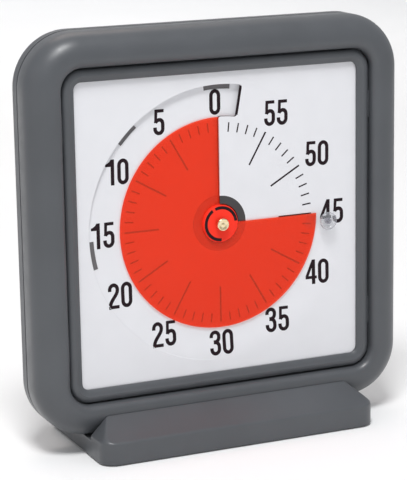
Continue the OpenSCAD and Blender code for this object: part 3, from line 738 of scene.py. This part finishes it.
# (one side, other side) of the strokes that taper
TAPERS = {
    "1": [([(3.45, DIGIT_H), (2.7, 11.9), (1.5, 11.1), (0.45, 10.75)],
           [(3.45, 9.45), (2.7, 9.45), (1.5, 9.45), (0.45, 9.45)])],
    "4": [([(0.05, 4.37), (3.7, DIGIT_H)], [(1.75, 4.3), (4.6, 11.1)])],
    "5": [([(0.75, 13), (0.55, 6.15)], [(2.35, 12.4), (2.1, 6.6)])],
}
ADVANCE = {"1": 5.9}


def resample(points, step=0.6):
    """The same line with points no further apart than step."""
    out = [points[0]]
    for a, b in zip(points, points[1:]):
        count = max(1, math.ceil(math.dist(a, b) / step))
        out += [(a[0] + (b[0] - a[0]) * i / count, a[1] + (b[1] - a[1]) * i / count)
                for i in range(1, count + 1)]
    return out


def pen_sides(points, width):
    """Both sides of a stroke of one width along a line."""
    points = resample(points)
    shut = math.dist(points[0], points[-1]) < 1e-6
    left, right = [], []
    for i, (x, y) in enumerate(points):
        before = points[i - 1] if i else (points[-2] if shut else points[0])
        after = points[i + 1] if i < len(points) - 1 else (points[1] if shut else points[-1])
        dx, dy = after[0] - before[0], after[1] - before[1]
        scale = width / 2 / math.hypot(dx, dy)
        left.append((x - dy * scale, y + dx * scale))
        right.append((x + dy * scale, y - dx * scale))
    return left, right


def even_sides(a, b):
    """Two sides of a tapering stroke, with equally many points."""
    count = 12

    def spaced(line):
        lengths = [0]
        for p, q in zip(line, line[1:]):
            lengths.append(lengths[-1] + math.dist(p, q))
        out = []
        for i in range(count + 1):
            want = lengths[-1] * i / count
            k = max(j for j in range(len(line) - 1) if lengths[j] <= want + 1e-9)
            t = (want - lengths[k]) / (lengths[k + 1] - lengths[k])
            out.append(tuple(line[k][c] + (line[k + 1][c] - line[k][c]) * t for c in (0, 1)))
        return out

    return spaced(a), spaced(b)


def printed_strip(left, right, lift, across=3):
    """A thin closed strip of ink that follows the dial between two lines."""
    grid = []
    for a, b in zip(left, right):
        row = [(a[0] + (b[0] - a[0]) * k / across, a[1] + (b[1] - a[1]) * k / across)
               for k in range(across + 1)]
        grid.append([printed_point(x, y, lift) for x, y in row])
    return plate(grid, everywhere, INK_T)


def numeral(text, cx, cy):
    """The strips of a one- or two-digit number centred at a point of the dial."""
    gap, layer = 1.0, 0.004
    widths = [ADVANCE.get(digit, DIGIT_W) for digit in text]
    x = cx - (sum(widths) + gap * (len(text) - 1)) / 2
    strips = []
    for digit, width in zip(text, widths):
        sides = [pen_sides(line, pen) for line, pen in STROKES[digit]]
        sides += [even_sides(a, b) for a, b in TAPERS.get(digit, [])]
        for k, pair in enumerate(sides):
            moved = [[(x + px, cy - DIGIT_H / 2 + py) for px, py in side] for side in pair]
            strips.append(printed_strip(*moved, INK_LIFT + layer * k))
        x += width + gap
    return strips


def tick(phi, r_in, r_out, width):
    """A printed line of the scale."""
    count = 16
    sides = []
    for way in (-1, 1):
        line = []
        for i in range(count + 1):
            x, y = polar(r_in + (r_out - r_in) * i / count, phi)
            ox, oy = polar(way * width / 2, phi + 90)
            line.append((x + ox, y + oy))
        sides.append(line)
    return printed_strip(*sides, INK_LIFT, across=1)


def dial_print():
    """The numbers 0 to 55 and the minute scale."""
    strips = []
    for k in range(12):
        x, y = polar(1, 30 * k)
        place = (x * NUMERAL_X, y * NUMERAL_Y) if k else ZERO_PLACE
        strips += numeral(str(5 * k), *place)
    for minute in range(1, 60):
        r_in, width = (TICK_IN_R, TICK_W) if minute % 5 else (LONG_TICK_IN_R, LONG_TICK_W)
        strips.append(tick(6 * minute, r_in, TICK_OUT_R, width))
    piece("dial_print", joined(*strips), ink_and_shade, "housing")


# ---- Film, hub and knob ----


def film():
    """The red film: most of a turn of a spiral that slips behind the dial at the slit. A thin
    second sheet lies between it and the collar."""

    def sheet(radii, lift, thick):
        grid = [[(*polar(r, phi), CARD_Z - RISE * (1 - phi / 360) + lift) for r in radii]
                for phi in range(FILM_START, FILM_END + 1)]
        return plate(grid, everywhere, thick)

    radii = [FILM_IN_R + (FILM_R - FILM_IN_R) * k / 10 for k in range(11)]
    under_radii = (UNDER_IN_R, RING_MID_R, RING_OUT_R)
    sheets = joined(sheet(radii, FILM_LIFT, FILM_T), sheet(under_radii, UNDER_LIFT, UNDER_T))
    piece("film", sheets, red_film, "disc", ["red_film"], sharp=50)


def hub():
    """The red hub with the black index arcs on its front, and the brass cap."""
    bore, edge_w, edge_h = 2.85, 0.5, 1.2
    profile = [(bore, HUB_BACK_Z), (FILM_IN_R, HUB_BACK_Z)]
    profile += arc(FILM_IN_R - edge_w, HUB_FRONT_Z - edge_h, edge_w, edge_h, 0, 90, 8)
    profile += [(bore, HUB_FRONT_Z)]
    piece("hub_front", turned(profile, (0, 0)), hub_red, "disc", ["film_hub"])
    strips, steps = [], 48
    for start, finish in INDEX_ARCS:
        turns = [start + (finish - start) * i / steps for i in range(steps + 1)]
        grid = [[(*polar(r, phi), HUB_FRONT_Z + INDEX_LIFT) for r in INDEX_RADII] for phi in turns]
        strips.append(plate(grid, everywhere, INDEX_T))
    piece("hub_index_arc", joined(*strips), ink_and_shade, "disc", ["hub_arc"])

    low, high = box_mm("brass_cap")
    cap_r = (high.x - low.x) / 2
    cap_top, cap_low = BACK_Y - low.y, BACK_Y - high.y
    rim = 0.45
    dish = ((2.2, 0.05), (1.85, 0.3), (0.9, 0.36), (0.6, 0.2), (0, 0.16))  # radius, depth
    profile = [(0, cap_low), (cap_r, cap_low)]
    profile += arc(cap_r - rim, cap_top - rim, rim, rim, 0, 90, 6)
    profile += [(r, cap_top - depth) for r, depth in dish]
    piece("hub_cap", turned(profile, (0, 0)), brass, "arbor", ["brass_cap"])


def knob():
    """The clear pebble that a fingertip holds, and a darker core inside it: painted refraction."""
    low, high = box_mm("knob")
    r = (high.x - low.x) / 2
    centre = ((low.x + high.x) / 2, (low.z + high.z) / 2 - CENTRE_H)
    seat = 0.05
    base, top = BACK_Y - high.y + seat, BACK_Y - low.y
    height = top - base
    foot_r, belly_h, crown_z = r * 0.72, height * 0.3, base + height * 0.45
    profile = [(0, base), (foot_r, base)]
    profile += arc(foot_r, base + belly_h, r - foot_r, belly_h, -90, 0, 6)[1:]
    profile += arc(0, crown_z, r, top - crown_z, 0, 90, 16)[:-1] + [(0, top)]
    piece("knob_pebble", turned(profile, centre, 48), clear, "disc", ["knob"],
          sharp=60)

    # A darker core that paints the dark refraction seen through the clear pebble
    core_r, core_low, core_top = r * 0.3, base + 0.2, base + height * 0.72
    flare, edge_w, edge_h = 1.15, core_r * 0.3, 0.4
    profile = [(0, core_low), (core_r * flare, core_low)]
    profile += arc(core_r - edge_w, core_top - edge_h, edge_w, edge_h, 0, 90, 5)
    profile += [(0, core_top)]
    piece("knob_painted_refraction", turned(profile, centre, 40), painted_refraction, "disc", sharp=50)


# ---- Stand ----


def stand():
    """The stand: a lofted block with soft hips, cut for the housing and for its feet."""
    low, high = box_mm("stand_base")
    half_x, half_y = (high.x - low.x) / 2, (high.y - low.y) / 2
    # How far the end slopes and the side slopes run inwards for each millimetre of rise
    end_run, side_run = 1.0, 18.7 / 9.0
    loops = []
    for z, inset in ((0, 0.5), (0.25, 0.15), (0.7, 0)):
        loops.append(round_loop(half_x - inset, half_y - inset, STAND_CORNER, low.z + z))
    rows, top_z = 28, high.z - 0.45
    for k in range(rows + 1):
        z = STAND_RIM_Z + (top_z - STAND_RIM_Z) * k / rows
        above = z - STAND_EDGE_Z
        rise = (above + math.hypot(above, HIP_SOFT)) / 2
        r = HIP_R + (STAND_CORNER - HIP_R) * math.exp(-rise / HIP_FADE)
        loops.append(round_loop(half_x - rise * end_run, half_y - rise * side_run, r, z))
    top = loops[-1]
    for drop, inset in ((0.2, 0.55), (0.05, 0.9), (0, 1.4)):
        shrink_x = 1 - inset / half_x
        shrink_y = 1 - inset / half_y
        loops.append([(x * shrink_x, y * shrink_y, high.z - drop) for x, y, z in top])
    block = piece("stand_block", skin(loops), charcoal, "stand",
                  ["stand_base"], floor_point)

    slot_floor = CENTRE_H - HALF
    front, back = shell_low.y - SLOT_GAP, BACK_Y + SLOT_GAP
    past, below = 5, -2
    plan = ((-half_x - past, front), (half_x + past, front),
            (half_x + past, back), (-half_x - past, back))
    cuts = [skin([[(x, y, z) for x, y in plan] for z in (slot_floor, high.z + past)])]
    feet_high = box_mm("stand_feet")[1]
    foot_t, foot_x, foot_y = feet_high.z, feet_high.x - PAD_R, feet_high.y - PAD_R
    foot_places = [(sx * foot_x, sy * foot_y) for sx in (-1, 1) for sy in (-1, 1)]
    circle = arc(0, 0, PAD_R + PAD_PLAY, PAD_R + PAD_PLAY, 0, 350, 35)
    for cx, cy in foot_places:
        cuts.append(skin([[(cx + x, cy + y, z) for x, y in circle] for z in (below, foot_t)]))
    points, faces = joined(*cuts)
    cutter_mesh = bpy.data.meshes.new("slot_cutter")
    cutter_mesh.from_pydata([floor_point(*p) for p in points], [], faces)
    clean(cutter_mesh)
    cutter = bpy.data.objects.new("slot_cutter", cutter_mesh)
    bpy.context.scene.collection.objects.link(cutter)
    boolean = block.modifiers.new("slot", "BOOLEAN")
    boolean.operation = "DIFFERENCE"
    boolean.solver = "EXACT"
    boolean.object = cutter
    bevel = block.modifiers.new("soft_edges", "BEVEL")
    bevel.limit_method = "ANGLE"
    bevel.angle_limit = math.radians(50)
    bevel.width = 0.3 * MM
    bevel.segments = 2
    seen = block.evaluated_get(bpy.context.evaluated_depsgraph_get())
    cut_mesh = bpy.data.meshes.new_from_object(seen)
    block.modifiers.clear()
    block.data = cut_mesh
    cut_mesh.shade_smooth()
    cut_mesh.set_sharp_from_angle(angle=math.radians(SHARP))
    bpy.data.objects.remove(cutter)

    profile = [(0, foot_t), (0, 0)]
    profile += arc(PAD_R - PAD_ROUND, PAD_ROUND, PAD_ROUND, PAD_ROUND, -90, 0, 4)
    profile += [(PAD_R, foot_t)]
    pads = [turned(profile, place, 40) for place in foot_places]
    piece("stand_pads", joined(*pads), rubber, "stand", ["stand_feet"], floor_point)


front_frame()
inner_bezel()
dial_face()
dial_card()
painted_shade_strips()
hub_collar()
dial_print()
film()
hub()
knob()
stand()


# ---- Floor, light and camera ----


def studio():
    """A pale floor that curves up far behind, a key light from above, gentle fills and a wash of
    light on the floor behind."""
    floor_material, nodes, links, shader = tree("floor_look")
    broad = noise(nodes, links, 0.5, detail=3)
    tone = ramp(nodes, links, broad, (0.86, 0.86, 0.86), (0.9, 0.9, 0.9))
    links.new(tone, shader.inputs["Base Color"])
    shader.inputs["Roughness"].default_value = 0.7
    half_w, near, bend, far_r, high = 6.0, -4.0, 2.5, 2.0, 6.0
    line = [(near, 0.0), (bend, 0.0)]
    line += [(y, z) for y, z in arc(bend, far_r, far_r, far_r, -90, 0, 16)][1:]
    line += [(bend + far_r, high)]
    points = [(x, y, z) for y, z in line for x in (-half_w, half_w)]
    faces = [(2 * i, 2 * i + 1, 2 * i + 3, 2 * i + 2) for i in range(len(line) - 1)]
    mesh = bpy.data.meshes.new("floor")
    mesh.from_pydata(points, [], faces)
    mesh.materials.append(floor_material)
    mesh.shade_smooth()
    floor = bpy.data.objects.new("floor", mesh)
    bpy.context.scene.collection.objects.link(floor)

    world = bpy.data.worlds.new("studio")
    world.use_nodes = True
    world.node_tree.nodes["Background"].inputs["Color"].default_value = (0.95, 0.97, 1.0, 1)
    world.node_tree.nodes["Background"].inputs["Strength"].default_value = 0.56
    bpy.context.scene.world = world

    middle = Vector((0, -0.02, 0.11))
    neutral, warm = (1, 1, 1), (1, 0.8, 0.68)
    lamps = (("key", -27, 62, 1.7, 0.45, 22.5, neutral),
             ("fill_left", -80, 20, 2.0, 1.0, 0.9, warm),
             ("fill_right", 50, 25, 2.2, 1.4, 0.5, neutral),
             ("back", 170, 52, 2.0, 1.0, 4, warm))
    for name, azimuth, elevation, distance, size, power, colour in lamps:
        light = bpy.data.lights.new(name, "AREA")
        light.color = colour
        light.size = size
        light.energy = power
        lamp = bpy.data.objects.new(name, light)
        bpy.context.scene.collection.objects.link(lamp)
        turn, lift = math.radians(azimuth), math.radians(elevation)
        away = Vector((math.sin(turn) * math.cos(lift), -math.cos(turn) * math.cos(lift),
                       math.sin(lift)))
        lamp.location = middle + away * distance
        lamp.rotation_euler = away.to_track_quat("Z", "Y").to_euler()

    wash = bpy.data.lights.new("floor_wash", "AREA")
    wash.size = 2.0
    wash.energy = 9
    wash.spread = math.radians(80)
    lamp = bpy.data.objects.new("floor_wash", wash)
    bpy.context.scene.collection.objects.link(lamp)
    lamp.location = (0.4, 2.0, 2.4)


def camera():
    """The photograph's viewing angle, distance and lens."""
    azimuth, elevation, roll = (math.radians(a) for a in (-23.86, 12.71, -0.95))
    target, distance = Vector((-10.75, -17.3, 104.12)) * MM, 997.22 * MM
    away = Vector((math.sin(azimuth) * math.cos(elevation),
                   -math.cos(azimuth) * math.cos(elevation), math.sin(elevation)))
    data = bpy.data.cameras.new("camera")
    data.sensor_fit = "VERTICAL"
    data.sensor_height = 24
    data.lens = 99.0
    view = bpy.data.objects.new("camera", data)
    bpy.context.scene.collection.objects.link(view)
    level = away.to_track_quat("Z", "Y").to_matrix().to_4x4()
    view.matrix_world = (Matrix.Translation(target + away * distance) @ level
                         @ Matrix.Rotation(roll, 4, "Z"))
    bpy.context.scene.camera = view


studio()
camera()
bpy.context.scene.view_settings.view_transform = "Standard"
